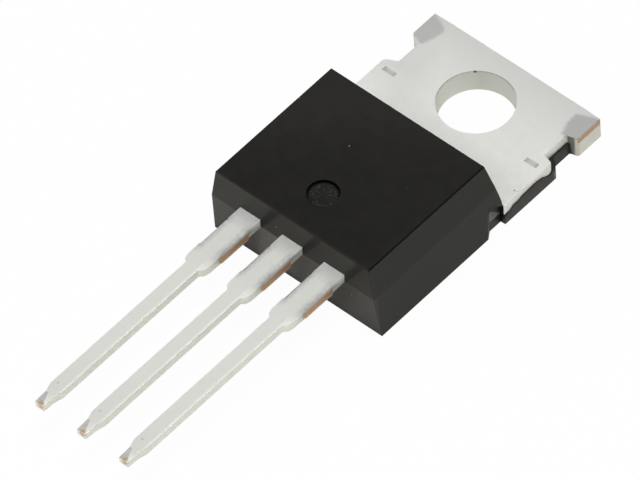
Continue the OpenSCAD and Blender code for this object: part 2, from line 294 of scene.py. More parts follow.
@dataclass(frozen=True)
class MouldCompound:
    """Black moulded epoxy, with the grain of a spark-eroded mould and a few pale filler specks."""

    name: str = "black_mould_compound"
    colour: Colour = (0.0085, 0.0082, 0.0075)
    lighter_tone: Colour = (0.0172, 0.0162, 0.0140)
    flash: Colour = (0.0365, 0.0310, 0.0250)
    # painted side tone of the upright faces
    side: Colour = (0.0105, 0.0098, 0.0050)
    # painted reflection of the floor on the lead end
    floor_reflection_tone: Colour = (0.1000, 0.0890, 0.0720)
    # near-black painted shade: above and beside the leads, along the right front edge, in the ejector mark's rim,
    # at the strip feet and by the ears
    painted_lighting: Colour = (0.0012, 0.0012, 0.0011)
    fleck: Colour = (0.055, 0.053, 0.048)
    # pale filler specks, also the painted highlight on the strip ends
    speck_and_highlight: Colour = (0.24, 0.23, 0.20)
    ior: float = 1.29
    grain_per_mm: float = 14.0
    grain_depth: float = 0.0045
    ejector_y: float = -10.35
    ejector_floor: float = 0.76
    ejector_shade_ring: Span = (0.66, 0.90)
    front_z: float = 4.38
    front_side: float = 4.58
    foot: float = -3.87
    lead_end: float = -12.4
    lead_pitch: float = 2.54
    lead_top: float = 3.12
    lead_bottom: float = 2.62
    band_x: Span = (0.58, 1.04)
    band_slope: float = 0.64
    gap_x: Span = (0.60, 0.76)
    strip_side: float = 4.4
    strip_top: float = 0.7
    notch_y: Span = (-0.3, 1.35)
    nose_x: float = 5.0
    nose_y: Span = (-0.46, -0.30)
    nose_z: Span = (0.08, 0.55)

    def painted_lead_shade(self, x: Signal, y: Signal, z: Signal) -> Signal:
        """Where the lead end gets painted shade: a slanted band above each lead and a contact shadow in the gap
        on its right.

        Args:
            x: The place across the part.
            y: The place along it.
            z: The height.

        Returns:
            A mask from 0 to 1.
        """
        slanted = (x - (z - (self.lead_top + 0.02)) * self.band_slope).from_nearest(self.lead_pitch)
        band = slanted.within(*self.band_x, 0.06) * z.within(self.lead_bottom + 0.04, self.front_z, 0.04)
        gap = x.from_nearest(self.lead_pitch).within(*self.gap_x, 0.08) * z.within(2.6, self.lead_top, 0.1)
        return (band * 0.8).highest(gap) * y.below(self.lead_end, 0.05)

    def paint(self) -> bpy.types.Material:
        """Makes the material.

        Returns:
            The finished material.
        """
        board = Board.named(self.name)
        place = board.place()
        x, y, z = board.axes(place)
        _, _, up = board.facing()
        side = abs(x)
        grain = board.noise(place, self.grain_per_mm, 3.0, 0.6)
        cloud = board.noise(place, 1.3, 3.0, 0.6)
        lumps = board.noise(place, 5.0, 4.0, 0.7)
        cells = board.node("ShaderNodeTexVoronoi", inputs={"Vector": place, "Scale": 1.1})
        chosen, _, _ = board.axes(cells.also("Color"))
        specks = cells.below(0.035, 0.02) * chosen.above(0.68, 0.02)
        radius = distance(x, y - self.ejector_y)
        sunk = z.below(self.front_z, 0.02) * z.above(4.0, 0.1)
        in_mark = radius.below(self.ejector_floor, 0.02) * sunk
        # painted shade in a ring at the ejector mark's rim, darkest on its side towards the tab
        rim = radius.within(*self.ejector_shade_ring, 0.08) * sunk * (0.35 + y.above(self.ejector_y + 0.1, 1.0) * 0.65)
        # painted shade: a dark line along the round of the right front edge
        front_edge_shade = side.above(self.front_side, 0.01) * z.above(4.35, 0.01)
        far_corner = (y - x * 0.8).above(-5.0, 6.0)
        left_side = (x - y * 0.3).below(-0.6, 4.0)
        # Lighter in random clouds, and towards the tab end, the left side and the far corner.
        lighter_areas = cloud.above(0.55, 0.4) * 0.35 + (y.above(-8.0, 8.0) + left_side) * 0.3 + far_corner * 0.8
        between = x.within(-2.2, 2.2, 0.6) * 0.25 + x.within(-2.2, -0.2, 0.8) * 0.4
        below_leads = z.below(self.lead_bottom + 0.02, 0.1)
        # Painted reflection of the white floor: the lead end is lightened, most below the leads in the middle and
        # on the left.
        floor_reflection = y.below(self.lead_end, 0.05) * (below_leads * (between + 0.14) + 0.06)
        beside_tab = y.above(self.foot - 0.02, 0.01)
        at_foot = y.within(self.foot - 0.02, self.foot + 0.02, 0.01)
        # painted shade on the end face of each side strip at the foot of the body
        strip_foot_shade = at_foot * side.above(self.strip_side, 0.02) * z.below(self.strip_top, 0.1)
        in_notch = y.within(*self.notch_y, 0.1)
        # painted highlight on the rounded end of each side strip
        strip_nose_highlight = side.above(self.nose_x, 0.04) * y.within(*self.nose_y, 0.08) * z.within(*self.nose_z, 0.1)
        layers = (
            (lighter_areas, self.lighter_tone),
            # painted side tone: upright faces are warmer and a little lighter than the front, for how they catch
            # the light
            (abs(up).below(0.6, 0.2) * 0.8, self.side),
            (floor_reflection * (0.6 + lumps * 0.8), self.floor_reflection_tone),
            # painted shade on the lead end, above and beside each lead
            (self.painted_lead_shade(x, y, z), self.painted_lighting),
            (beside_tab * (1 - in_notch) * (0.3 + lumps * 0.4), self.flash),
            (front_edge_shade.highest(rim).highest(strip_foot_shade), self.painted_lighting),
            # The compound in the right notch takes the same lighter tone.
            (beside_tab * in_notch * x.above(0.0, 0.1), self.lighter_tone),
            # painted shade on the compound beyond the notches, by the ears
            (y.above(1.12, 0.08), self.painted_lighting),
            (strip_nose_highlight * 0.4, self.speck_and_highlight),
            (in_mark * lumps.above(0.64, 0.06) * radius.below(0.55, 0.2), self.fleck),
            (specks, self.speck_and_highlight),
        )
        return board.surface({
            "Base Color": board.layered(self.colour, layers),
            "Roughness": 0.34 + grain * 0.10 + cloud * 0.06,
            "IOR": self.ior,
            "Normal": board.bump(grain + in_mark * lumps * 8.0, self.grain_depth),
        })


@dataclass(frozen=True)
class Spot:
    """A small dark mark on the metal, on the tab or on each lead."""

    x: float
    y: float
    size: float
    weight: float
    on_leads: bool = False


@dataclass(frozen=True)
class TinnedCopper:
    """Copper with a matte tin plating, bare where it was cut from its strip."""

    name: str = "tinned_copper"
    tin: Colour = (0.91, 0.915, 0.875)
    dull: Colour = (0.84, 0.845, 0.80)
    yellowed: Colour = (0.88, 0.89, 0.79)
    # darker tone of the tab's far end and left side, painted light against the body's shadow
    far_shade_tin: Colour = (0.66, 0.665, 0.635)
    lead_tin: Colour = (0.69, 0.695, 0.655)
    pin_tin: Colour = (0.735, 0.74, 0.69)
    # pale painted highlight along the rounded edges of the leads
    painted_lighting: Colour = (0.93, 0.93, 0.87)
    # painted shade on the lead roots
    root_shade_tin: Colour = (0.50, 0.505, 0.50)
    # yellower side tone of the upright faces, painted darker than the tab's top as side shade
    side_tone: Colour = (0.70, 0.70, 0.61)
    bore: Colour = (0.60, 0.605, 0.545)
    # painted light on the left of the hole's wall
    bore_left_light: Colour = (0.76, 0.765, 0.69)
    # painted shade of the rolled stub edges
    rolled: Colour = (0.44, 0.45, 0.445)
    # painted light on the sides of the pins
    pin_side_light: Colour = (0.84, 0.84, 0.75)
    # painted highlight along the pins' right top edge
    pin_edge_highlight: Colour = (0.84, 0.845, 0.79)
    pressed: Colour = (0.425, 0.435, 0.43)
    copper: Colour = (0.44, 0.26, 0.135)
    # dark tone: painted shade in the pockets and on the hole's far rim, and the ears' darker inner walls
    dark_tone: Colour = (0.06, 0.058, 0.05)
    # near black: painted shade at the pocket ends, and black marks on the metal
    near_black: Colour = (0.006, 0.006, 0.005)
    lead_pitch: float = 2.54
    lead_start: float = -12.3
    hole_radius: float = 1.86
    foot: float = -3.87
    face: float = 1.2
    tip: Point = (0.08, -26.84, 2.97)
    stub_side: float = 0.63
    stub_y: Span = (-15.45, -13.2)
    stub_z: Span = (2.62, 2.99)
    ear_side: float = 4.98
    ear_y: float = 1.25
    ear_z: Span = (0.87, 1.21)
    ear_wedge: Span = (5.3, 25.15)
    pocket_side: float = 4.7
    pocket_start: float = -5.2
    pocket_roof: float = -3.22
    patch_inner: Point = (0.926, 0.376, 4.347)
    patch_outer: Span = (0.42, 0.74)
    punch_x: Span = (3.96, 4.68)
    punch_y: Span = (-1.24, -0.96)
    punch_z: Span = (1.10, 1.24)
    spots: tuple[Spot, ...] = (
        Spot(-1.24, 1.36, 0.075, 1.0),
        Spot(4.80, -2.84, 0.04, 0.55),
        Spot(4.96, -2.80, 0.03, 0.4),
        Spot(-0.10, -25.43, 0.06, 0.25, on_leads=True),
    )

    def worn_tip(self, board: Board, place: Signal) -> Signal:
        """Where the copper shows at the point of a lead.

        Args:
            board: The material.
            place: The point on the piece.

        Returns:
            A mask from 0 to 1.
        """
        x, y, z = board.axes(place)
        off_tip = distance(x.from_nearest(self.lead_pitch) - self.tip[0], y - self.tip[1], z - self.tip[2])
        return (off_tip + board.ragged(place, 8.0, 0.2)).below(0.19, 0.12) * 0.75

    def bare_copper(self, board: Board, place: Signal) -> Signal:
        """Where the copper shows: the cut stubs of the dam bar, the tips and the cut ends of the ears.

        Args:
            board: The material.
            place: The point on the piece.

        Returns:
            A mask from 0 to 1.
        """
        x, y, z = board.axes(place)
        side = abs(x)
        ragged = board.ragged(place, 5.0, 0.24, 4.0, 0.75)
        height = z + ragged * 0.8
        off_lead = abs(x.from_nearest(self.lead_pitch))
        stub = off_lead.above(self.stub_side, 0.02) * (y + ragged).within(*self.stub_y, 0.12)
        stub = stub * height.within(*self.stub_z, 0.07)
        ear = side.above(self.ear_side, 0.02) * y.above(self.ear_y, 0.05) * height.within(*self.ear_z, 0.08)
        corner = side.above(4.86, 0.06) * y.within(1.2, 1.42, 0.05) * z.below(self.face, 0.04) * 0.3
        return stub.highest(self.worn_tip(board, place)).highest(ear).highest(corner)

    def darkened(self, board: Board, place: Signal) -> Signal:
        """Where the metal is painted dull and dark: painted shade in the clamp pockets under the body, and a
        darker tone on the inner walls of the ears.

        Args:
            board: The material.
            place: The point on the piece.

        Returns:
            A mask from 0 to 1.
        """
        x, y, z = board.axes(place)
        pocket = abs(x).above(self.pocket_side, 0.02) * y.within(self.pocket_start, self.foot + 0.01, 0.02)
        ear = (x + board.ragged(place, 4.0, 0.2) * 0.3).within(4.5, 4.86, 0.08)
        ear = ear * y.within(1.1, 1.33, 0.04) * z.below(self.face, 0.03)
        return pocket.highest(ear * 0.88)

    def blackened(self, board: Board, place: Signal) -> Signal:
        """Where the metal is painted near black: painted shade on the step at the end of each pocket, and black
        on the roof of the pockets and below the ears.

        Args:
            board: The material.
            place: The point on the piece.

        Returns:
            A mask from 0 to 1.
        """
        x, y, z = board.axes(place)
        ragged = board.ragged(place, 6.0, 0.12)
        side = abs(x)
        slope, reach = self.ear_wedge
        roof = (y + z + ragged).above(self.pocket_roof, 0.1) * y.below(self.foot + 0.01, 0.01)
        end = y.within(self.foot - 0.01, self.foot + 0.01, 0.005)
        pocket = side.above(self.pocket_side, 0.02) * y.above(self.pocket_start, 0.02) * roof.highest(end)
        ear = side.within(4.4, 4.9, 0.02) * y.within(1.2, 1.33, 0.03) * z.below(1.0, 0.1)
        ear = ear * (z + side * slope + ragged).below(reach, 0.25)
        return pocket.highest(ear)

    def clamped(self, board: Board, place: Signal) -> Signal:
        """Where a tool pressed the face of the tab: the patch on each ear and the floors of the punch marks,
        darker towards their ends. On the ears the darker tone is partly painted shade of the patch's outward
        lean.

        Args:
            board: The material.
            place: The point on the piece.

        Returns:
            A mask from 0 to 1.
        """
        x, y, z = board.axes(place)
        side = abs(x) + board.noise(place, 3.5, 4.0, 0.75) * 0.36 - 0.18
        across, along, inner_reach = self.patch_inner
        slope, outer_reach = self.patch_outer
        inner = (side * across + y * along).above(inner_reach, 0.25)
        outer = (y - side * slope).below(outer_reach, 0.2)
        patch = side.above(4.0, 0.2) * y.above(1.05, 0.2) * inner * outer * z.above(1.16, 0.02)
        ends = abs(side - 4.32).above(0.22, 0.2)
        punch = abs(x).within(*self.punch_x, 0.05) * y.within(*self.punch_y, 0.04) * z.within(*self.punch_z, 0.02)
        return patch * (0.8 + x.above(0.0, 1.0) * 0.2) + punch * (0.72 + ends * 0.35)

    def blemishes(self, board: Board, place: Signal) -> Signal:
        """Small dark marks: a pit at the rim of the hole, a nick by the body and a dimple on each lead.

        Args:
            board: The material.
            place: The point on the piece.

        Returns:
            A mask from 0 to 1.
        """
        x, y, z = board.axes(place)
        ragged = board.ragged(place, 9.0, 0.1)
        found = z * 0.0
        for spot in self.spots:
            across = x.from_nearest(self.lead_pitch) if spot.on_leads else x
            away = distance(across - spot.x, y - spot.y) + ragged
            found = found.highest(away.below(spot.size, spot.size) * spot.weight)
        return found * z.above(self.face, 0.02)

    def paint(self) -> bpy.types.Material:
        """Makes the material.

        Returns:
            The finished material.
        """
        board = Board.named(self.name)
        place = board.place()
        x, y, z = board.axes(place)
        _, _, up = board.facing()
        radius = distance(x, y)
        cloud = board.noise(place, 0.9, 4.0, 0.65)
        patches = board.noise(place, 2.2, 4.0, 0.7)
        mottle = board.noise(place, 6.0, 3.0, 0.6)
        scratches = board.noise(board.stretched(place, (0.5, 22.0, 0.5), 0.5), 1.0, 2.0, 0.5)
        grain = board.noise(place, 18.0, 2.0, 0.6)
        across = x.from_nearest(self.lead_pitch)
        off_lead = abs(across)
        in_hole = radius.below(self.hole_radius + 0.01, 0.01)
        # painted shade: a dark line on the far rim of the hole
        far_rim_shade = radius.within(self.hole_radius, 1.91, 0.01) * z.above(self.face, 0.02) * (y - x).above(0.5, 1.0)
        # Painted shade on the rolled top edges of the dam bar stubs, darker than their rounding alone shades
        # them.
        rolled = (off_lead + mottle * 0.3).above(0.58, 0.3) * y.within(-15.6, -13.1, 0.5) * z.above(2.8, 0.05)
        left = x.below(-2.2, 2.5)
        # Upright faces get a yellower tone of their own, painted darker than the tab's top as side shade; along
        # the tab's sides and at the left notch it is held back, as painted light where the side strips shade the
        # walls.
        side_tone_held_back = y.within(self.foot, 1.1, 0.2).highest(x.below(0.0, 0.1) * y.within(1.0, 1.4, 0.1))
        upright = abs(up).below(0.5, 0.5)
        painted_side_tone = upright * (0.9 - side_tone_held_back * 0.85)
        on_lead = y.below(self.lead_start, 0.1)
        # painted highlight on the rounded edges of the leads
        lead_edge_highlight = abs(up).within(0.35, 0.95, 0.1) * z.above(3.0, 0.02)
        # painted light: the sides of the pins are lighter
        pin_side_light = on_lead * y.below(-15.8, 0.6) * upright
        # painted highlight along the right edge of each pin's top
        pin_edge_highlight = across.above(0.29, 0.08) * y.within(-25.8, -16.0, 0.5) * abs(up).above(0.7, 0.3)
        layers = (
            ((cloud * 0.6 + mottle * 0.4).above(0.5, 0.3), self.tin),
            (patches.above(0.58, 0.15) * 0.5, self.yellowed),
            # Painted light against the body's shadow: the tab is darker towards its far end and on its left, and
            # stays lighter near the body.
            (y.above(0.6, 4.5).highest(left * y.above(-1.8, 2.5) * 0.75), self.far_shade_tin),
            (on_lead, self.lead_tin),
            (on_lead * patches.above(0.5, 0.3) * 0.5, self.pin_tin),
            (y.below(-16.0, 1.5) * y.above(-24.5, 3.0) * 0.9, self.pin_tin),
            # painted shade on the leads at their roots by the body
            (y.within(-13.2, -12.3, 0.8) * (0.3 + mottle), self.root_shade_tin),
            (painted_side_tone * (0.55 + patches * 0.7), self.side_tone),
            (pin_side_light * (0.6 + patches * 0.6), self.pin_side_light),
            (pin_edge_highlight * (0.3 + patches), self.pin_edge_highlight),
            (on_lead * lead_edge_highlight * 0.7, self.painted_lighting),
            (in_hole, self.bore),
            # painted light on the left part of the hole's wall
            (in_hole * x.below(-1.5, 0.9), self.bore_left_light),
            (far_rim_shade * 0.55, self.dark_tone),
            (rolled * (0.55 + mottle * 0.6), self.rolled),
            (self.clamped(board, place) * 0.9, self.pressed),
            # painted shade in the clamp pockets, and darker inner walls of the ears
            (self.darkened(board, place) * (1.1 - mottle * 0.4), self.dark_tone),
            # painted shade at the pocket ends, black on the pocket roofs and below the ears
            (self.blackened(board, place), self.near_black),
            (self.bare_copper(board, place) * (0.65 + mottle * 0.55), self.copper),
            (self.blemishes(board, place), self.near_black),
        )
        height = grain * 0.5 + mottle * 0.8 + scratches.above(0.62, 0.1) * 0.3
        return board.surface({
            "Base Color": board.layered(self.dull, layers),
            "Metallic": 0.3,
            "Roughness": 0.44 + mottle * 0.14 - cloud * 0.06,
            "Normal": board.bump(height, 0.004),
        })


@dataclass(frozen=True)
class ShadedFacetTin:
    """The duller face that the stamping tool pressed on the points of the leads, painted darker as its shade."""

    name: str = "shaded_facet_tin"
    colour: Colour = (0.42, 0.425, 0.405)
    light: Colour = (0.56, 0.565, 0.53)
    metal: TinnedCopper = field(default_factory=TinnedCopper)

    def paint(self) -> bpy.types.Material:
        """Makes the material.

        Returns:
            The finished material.
        """
        board = Board.named(self.name)
        place = board.place()
        cloud = board.noise(place, 2.5, 4.0, 0.65)
        lines = board.noise(board.stretched(place, (2.0, 16.0, 1.0), 0.9), 1.0, 2.0, 0.5)
        layers = (
            (cloud.above(0.5, 0.4), self.light),
            (self.metal.worn_tip(board, place), self.metal.copper),
        )
        return board.surface({
            "Base Color": board.layered(self.colour, layers),
            "Metallic": 0.3,
            "Roughness": 0.5 + cloud * 0.1,
            "Normal": board.bump(lines * 0.6 + cloud, 0.004),
        })


@dataclass(frozen=True)
class PlainMetal:
    """A small metal or silicon piece inside the body, with a fine cloudy finish."""

    name: str
    slot: Slot
    colour: Colour
    light: Colour
    metallic: float
    roughness: float
    clouds_per_mm: float

    def paint(self) -> bpy.types.Material:
        """Makes the material.

        Returns:
            The finished material.
        """
        board = Board.named(self.name)
        place = board.place()
        cloud = board.noise(place, self.clouds_per_mm, 3.0, 0.6)
        return board.surface({
            "Base Color": board.mix(cloud.above(0.5, 0.5), self.colour, self.light),
            "Metallic": self.metallic,
            "Roughness": self.roughness + cloud * 0.08,
            "Normal": board.bump(cloud, 0.003),
        })


@dataclass(frozen=True)
class PaleFloor:
    """A white floor that keeps a faint shadow."""

    name: str = "pale_floor"
    colour: Colour = (0.80, 0.80, 0.80)
    glow: float = 0.96
    reflected_glow: float = 0.25

    def paint(self) -> bpy.types.Material:
        """Makes the material.

        Returns:
            The finished material.
        """
        board = Board.named(self.name)
        rays = board.node("ShaderNodeLightPath", output="Is Camera Ray")
        mirrored = rays.also("Is Glossy Ray").highest(rays.also("Is Transmission Ray"))
        seen = (rays * self.glow).highest(mirrored * self.reflected_glow)
        paint = board.node("ShaderNodeBsdfDiffuse", inputs={"Color": self.colour})
        light = board.node("ShaderNodeEmission", inputs={"Color": (1.0, 1.0, 1.0), "Strength": 1.0})
        return board.end(board.node("ShaderNodeMixShader", inputs={0: seen, 1: paint, 2: light}))


class Workpiece:
    """A mesh on the bench. Its parts are picked by place and shaped by edit mode operators."""

    MERGE = 0.0005
    SLIVER = 0.001
    ON_PLANE = 0.0001
    FLAT_ANGLE = 0.5
    SHARP_ANGLE = 40.0

    def __init__(self, made: bpy.types.Object, name: str) -> None:
        """Takes an object to the bench.

        Args:
            made: The object.
            name: The name of the piece.
        """
        self.made = made
        made.name = name
        made.data.name = name

    @classmethod
    def from_node(cls, node: str, name: str) -> "Workpiece":
        """Starts a piece from a merged copy of a CAD node's mesh.

        Args:
            node: The name of the CAD node.
            name: The name of the new piece.

        Returns:
            The piece, with its flat faces whole.
        """
        copy = bpy.data.objects.new(name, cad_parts[node].data.copy())
        bpy.context.scene.collection.objects.link(copy)
        piece = cls(copy, name)
        piece.made.data.materials.clear()
        with piece:
            bpy.ops.mesh.select_all(action="SELECT")
            bpy.ops.mesh.remove_doubles(threshold=cls.MERGE * MM)
            bpy.ops.mesh.dissolve_limited(angle_limit=math.radians(cls.FLAT_ANGLE))
        return piece

    def activate(self) -> None:
        """Selects this object and no other."""
        bpy.ops.object.select_all(action="DESELECT")
        self.made.select_set(True)
        bpy.context.view_layer.objects.active = self.made

    def __enter__(self) -> "Workpiece":
        """Goes into edit mode with nothing picked.

        Returns:
            The piece.
        """
        self.activate()
        bpy.ops.object.mode_set(mode="EDIT")
        bpy.ops.mesh.select_all(action="DESELECT")
        return self

    def __exit__(self, *_: object) -> None:
        """Leaves edit mode."""
        bpy.ops.object.mode_set(mode="OBJECT")

    def pick(self, kind: Pick, test: Callable[..., bool]) -> None:
        """Picks the vertices, edges or faces that pass a test, and nothing else.

        Args:
            kind: What to pick.
            test: Says whether one vertex, edge or face is wanted.
        """
        bpy.ops.mesh.select_mode(type=kind.value)
        bpy.ops.mesh.select_all(action="DESELECT")
        mesh = bmesh.from_edit_mesh(self.made.data)
        mesh.normal_update()
        items = {Pick.VERTS: mesh.verts, Pick.EDGES: mesh.edges, Pick.FACES: mesh.faces}[kind]
        wanted = [item for item in items if test(item)]
        for item in wanted:
            item.select_set(True)
        bmesh.update_edit_mesh(self.made.data)
        LOG.debug("%s: %d %s picked", self.made.name, len(wanted), kind.name.lower())

    def bevel(self, width: float, segments: int) -> None:
        """Rounds the picked edges."""
        bpy.ops.mesh.bevel(offset=width * MM, offset_type="OFFSET", segments=segments, profile=0.5,
                           affect="EDGES", clamp_overlap=True)

    def cut(self, point: Point, normal: Point) -> None:
        """Cuts the picked faces by a plane through a point, in millimetres, with a given normal."""
        bpy.ops.mesh.bisect(plane_co=Vector(point) * MM, plane_no=normal, threshold=self.ON_PLANE * MM)

    def refinish(self, slot: int) -> None:
        """Gives the picked faces another of the piece's materials, up to a sharp edge.

        Args:
            slot: The number of the material.
        """
        self.made.active_material_index = slot
        bpy.ops.object.material_slot_assign()
        bpy.ops.mesh.region_to_loop()
        bpy.ops.mesh.mark_sharp()

    def shift(self, x: float = 0.0, y: float = 0.0, z: float = 0.0) -> None:
        """Moves what is picked, in millimetres."""
        bpy.ops.transform.translate(value=(x * MM, y * MM, z * MM))

    def smooth(self) -> None:
        """Takes out slivers and shades the piece smooth over its bevels and flat on its faces."""
        with self:
            bpy.ops.mesh.select_mode(type=Pick.VERTS.value)
            bpy.ops.mesh.select_all(action="SELECT")
            bpy.ops.mesh.remove_doubles(threshold=self.SLIVER * MM)
            bpy.ops.mesh.dissolve_degenerate(threshold=self.SLIVER * MM)
            bpy.ops.mesh.delete_loose()
            self.pick(Pick.EDGES, lambda e: turn(e) > self.SHARP_ANGLE)
            bpy.ops.mesh.mark_sharp()
        self.activate()
        bpy.ops.object.shade_smooth(keep_sharp_edges=True)
        bpy.ops.object.modifier_add(type="WEIGHTED_NORMAL")
        self.made.modifiers[-1].keep_sharp = True
        bpy.ops.object.modifier_apply(modifier=self.made.modifiers[-1].name)

    def dress(self, *materials: bpy.types.Material) -> None:
        """Gives the piece its materials, the first for most of it."""
        for material in materials:
            self.made.data.materials.append(material)

    def hand_in(self, slot: Slot, *nodes: str) -> bpy.types.Object:
        """Sets the piece in the frame.

        Args:
            slot: The record's material slot of its finish. It is not used.
            nodes: The CAD nodes that it stands for.

        Returns:
            The finished object.
        """
        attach(self.made, BODY)
        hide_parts(*nodes)
        LOG.info("%s: %d faces, for %s", self.made.name, len(self.made.data.polygons), ", ".join(nodes))
        return self.made


def middle(item: bmesh.types.BMVert | bmesh.types.BMEdge | bmesh.types.BMFace) -> Vector:
    """The place of a vertex or the middle of an edge or a face, in millimetres.

    Args:
        item: The vertex, edge or face.

    Returns:
        The place.
    """
    if isinstance(item, bmesh.types.BMVert):
        return item.co / MM
    if isinstance(item, bmesh.types.BMFace):
        return item.calc_center_median() / MM
    return (item.verts[0].co + item.verts[1].co) / (2 * MM)


def turn(edge: bmesh.types.BMEdge) -> float:
    """The angle between the two faces of an edge, in degrees."""
    return math.degrees(edge.calc_face_angle(0.0))


def rise(edge: bmesh.types.BMEdge) -> float:
    """How much higher one end of an edge is than the other, in millimetres."""
    return abs(edge.verts[0].co.z - edge.verts[1].co.z) / MM


@dataclass
class LeadForm:
    """What the stamping tool leaves on each lead: rolled edges at the dam bar and a pressed point."""

    top: float = 3.08
    bottom: float = 2.58
    body_end: float = -12.59
    roll_from: float = -13.3
    roll_to: float = -15.4
    roll: float = 0.2
    edge: float = 0.03
    tip: float = -26.85
    tip_edge: float = 0.11
    near: float = 0.004
    sharp_turn: float = 50.0
    point: float = -26.12
    ridge: Point = (0.93, 0.36, 0.0)
    ridge_start: float = -0.08
    facet_drop: float = 0.06

    def shape(self, piece: Workpiece, centre: float) -> None:
        """Rolls and rounds the edges of one lead and cuts its point.

        Args:
            piece: The piece that holds the lead.
            centre: The lead's middle across the part.
        """
        on_top = self.bottom + 0.3
        with piece:
            piece.pick(Pick.FACES, lambda f: f.normal.z > 0.9 and middle(f).y < self.point
                       and middle(f).z > on_top)
            piece.cut((centre + self.ridge_start, self.point, self.top), self.ridge)
            piece.pick(Pick.VERTS, lambda v: middle(v).y < self.point + 0.01 and middle(v).z > on_top
                       and -0.4 < middle(v).x - centre < self.ridge_start - 0.1)
            piece.shift(z=-self.facet_drop)
            # The facet gets the second material, painted darker as its shade.
            piece.pick(Pick.FACES, lambda f: f.normal.z > 0.8 and f.normal.x < -0.1 and middle(f).y < self.point)
            piece.refinish(1)
            piece.pick(Pick.EDGES, self.is_rolled)
            piece.bevel(self.roll, 4)
            piece.pick(Pick.EDGES, lambda e: all(middle(v).y < self.tip + 0.01 for v in e.verts))
            piece.bevel(self.tip_edge, 3)
            piece.pick(Pick.EDGES, self.is_plain)
            piece.bevel(self.edge, 2)

    def on_top(self, edge: bmesh.types.BMEdge) -> bool:
        """Whether an edge lies in the lead's top face, outside the body."""
        return all(abs(middle(v).z - self.top) < self.near for v in edge.verts)

    def is_rolled(self, edge: bmesh.types.BMEdge) -> bool:
        """Whether an edge is a top edge of the dam bar stubs."""
        y = middle(edge).y
        return self.on_top(edge) and turn(edge) > self.sharp_turn and self.roll_to < y < self.roll_from

    def is_plain(self, edge: bmesh.types.BMEdge) -> bool:
        """Whether an edge is another long edge of the lead.

        Args:
            edge: The edge.

        Returns:
            Whether it is.
        """
        spot = middle(edge)
        outside = self.tip + 0.1 < spot.y < self.body_end and spot.z > self.bottom - 0.1
        at_stub = self.roll_to - 0.2 < spot.y < self.roll_from + 0.2
        return turn(edge) > self.sharp_turn and rise(edge) < 0.1 and outside and not at_stub


@dataclass
class OuterLead:
    """The left or the right lead, with its post inside the body."""

    node: str
    name: str
    centre: float
    form: LeadForm = field(default_factory=LeadForm)

    def build(self, tin: bpy.types.Material, pressed: bpy.types.Material) -> bpy.types.Object:
        """Makes the lead.

        Args:
            tin: The finish of the metal.
            pressed: The finish of its pressed point, painted darker as shade.

        Returns:
            The finished object.
        """
        piece = Workpiece.from_node(self.node, self.name)
        piece.dress(tin, pressed)
        self.form.shape(piece, self.centre)
        piece.smooth()
        return piece.hand_in(Slot.TINNED, self.node)


@dataclass
class CoolingTab:
    """The stamped tab with its hole, ears and notches, the plate behind it and the centre lead."""

    node: str = "heat_sink_tab"
    name: str = "cooling_tab_with_lead"
    thickness: float = 1.26
    side: float = 5.02
    foot: float = -3.87
    ear_end: float = 1.31
    ear_corner: float = 0.1
    edge: float = 0.05
    patch_drop: float = 0.035
    patch_cuts: tuple[tuple[Span, Span, Span], ...] = (
        ((-9.0, -9.0), (3.97, 1.80), (1.00, 0.00)),
        ((3.97, -9.0), (3.98, 1.76), (0.64, 0.26)),
        ((3.97, 1.00), (3.97, 2.40), (-0.42, 1.00)),
    )
    form: LeadForm = field(default_factory=LeadForm)

    def build(self, tin: bpy.types.Material, pressed: bpy.types.Material) -> bpy.types.Object:
        """Makes the tab.

        Args:
            tin: The finish of the metal.
            pressed: The finish of the centre lead's pressed point, painted darker as shade.

        Returns:
            The finished object.
        """
        piece = Workpiece.from_node(self.node, self.name)
        piece.dress(tin, pressed)
        self.form.shape(piece, 0.0)
        self.press_ears(piece)
        self.round_edges(piece)
        piece.smooth()
        return piece.hand_in(Slot.TINNED, self.node)

    def is_top(self, face: bmesh.types.BMFace) -> bool:
        """Whether a face is part of the tab's front face."""
        spot = middle(face)
        return face.normal.z > 0.99 and abs(spot.z - self.thickness) < 0.05 and spot.y > self.foot

    def press_ears(self, piece: Workpiece) -> None:
        """Cuts the pressed patch into each ear, past a point each time, and leans it outwards.

        Args:
            piece: The piece that holds the tab.
        """
        for sign in (-1, 1):
            with piece:
                for (past_x, past_y), (x, y), (across, along) in self.patch_cuts:
                    piece.pick(Pick.FACES, lambda f: self.is_top(f) and middle(f).x * sign > past_x
                               and middle(f).y > past_y)
                    piece.cut((sign * x, y, self.thickness), (sign * across, along, 0.0))
                piece.pick(Pick.VERTS, lambda v: abs(middle(v).z - self.thickness) < 0.01
                           and middle(v).y > 1.2 and middle(v).x * sign > self.side - 0.04)
                piece.shift(z=-self.patch_drop)

    def round_edges(self, piece: Workpiece) -> None:
        """Rounds the punched edges of the tab and of its hole.

        Args:
            piece: The piece that holds the tab.
        """
        with piece:
            piece.pick(Pick.EDGES, self.is_ear_corner)
            piece.bevel(self.ear_corner, 4)
            piece.pick(Pick.EDGES, self.is_outline)
            piece.bevel(self.edge, 3)

    def is_ear_corner(self, edge: bmesh.types.BMEdge) -> bool:
        """Whether an edge is the upright outer corner of an ear, beside the notch."""
        spot = middle(edge)
        return rise(edge) > 0.5 and abs(abs(spot.x) - self.side) < 0.01 and abs(spot.y - self.ear_end) < 0.02

    def is_outline(self, edge: bmesh.types.BMEdge) -> bool:
        """Whether an edge is on the rim of the tab's front face or of its hole."""
        at_top = all(abs(middle(v).z - self.thickness) < 0.05 for v in edge.verts)
        return at_top and turn(edge) > 60 and middle(edge).y > self.foot


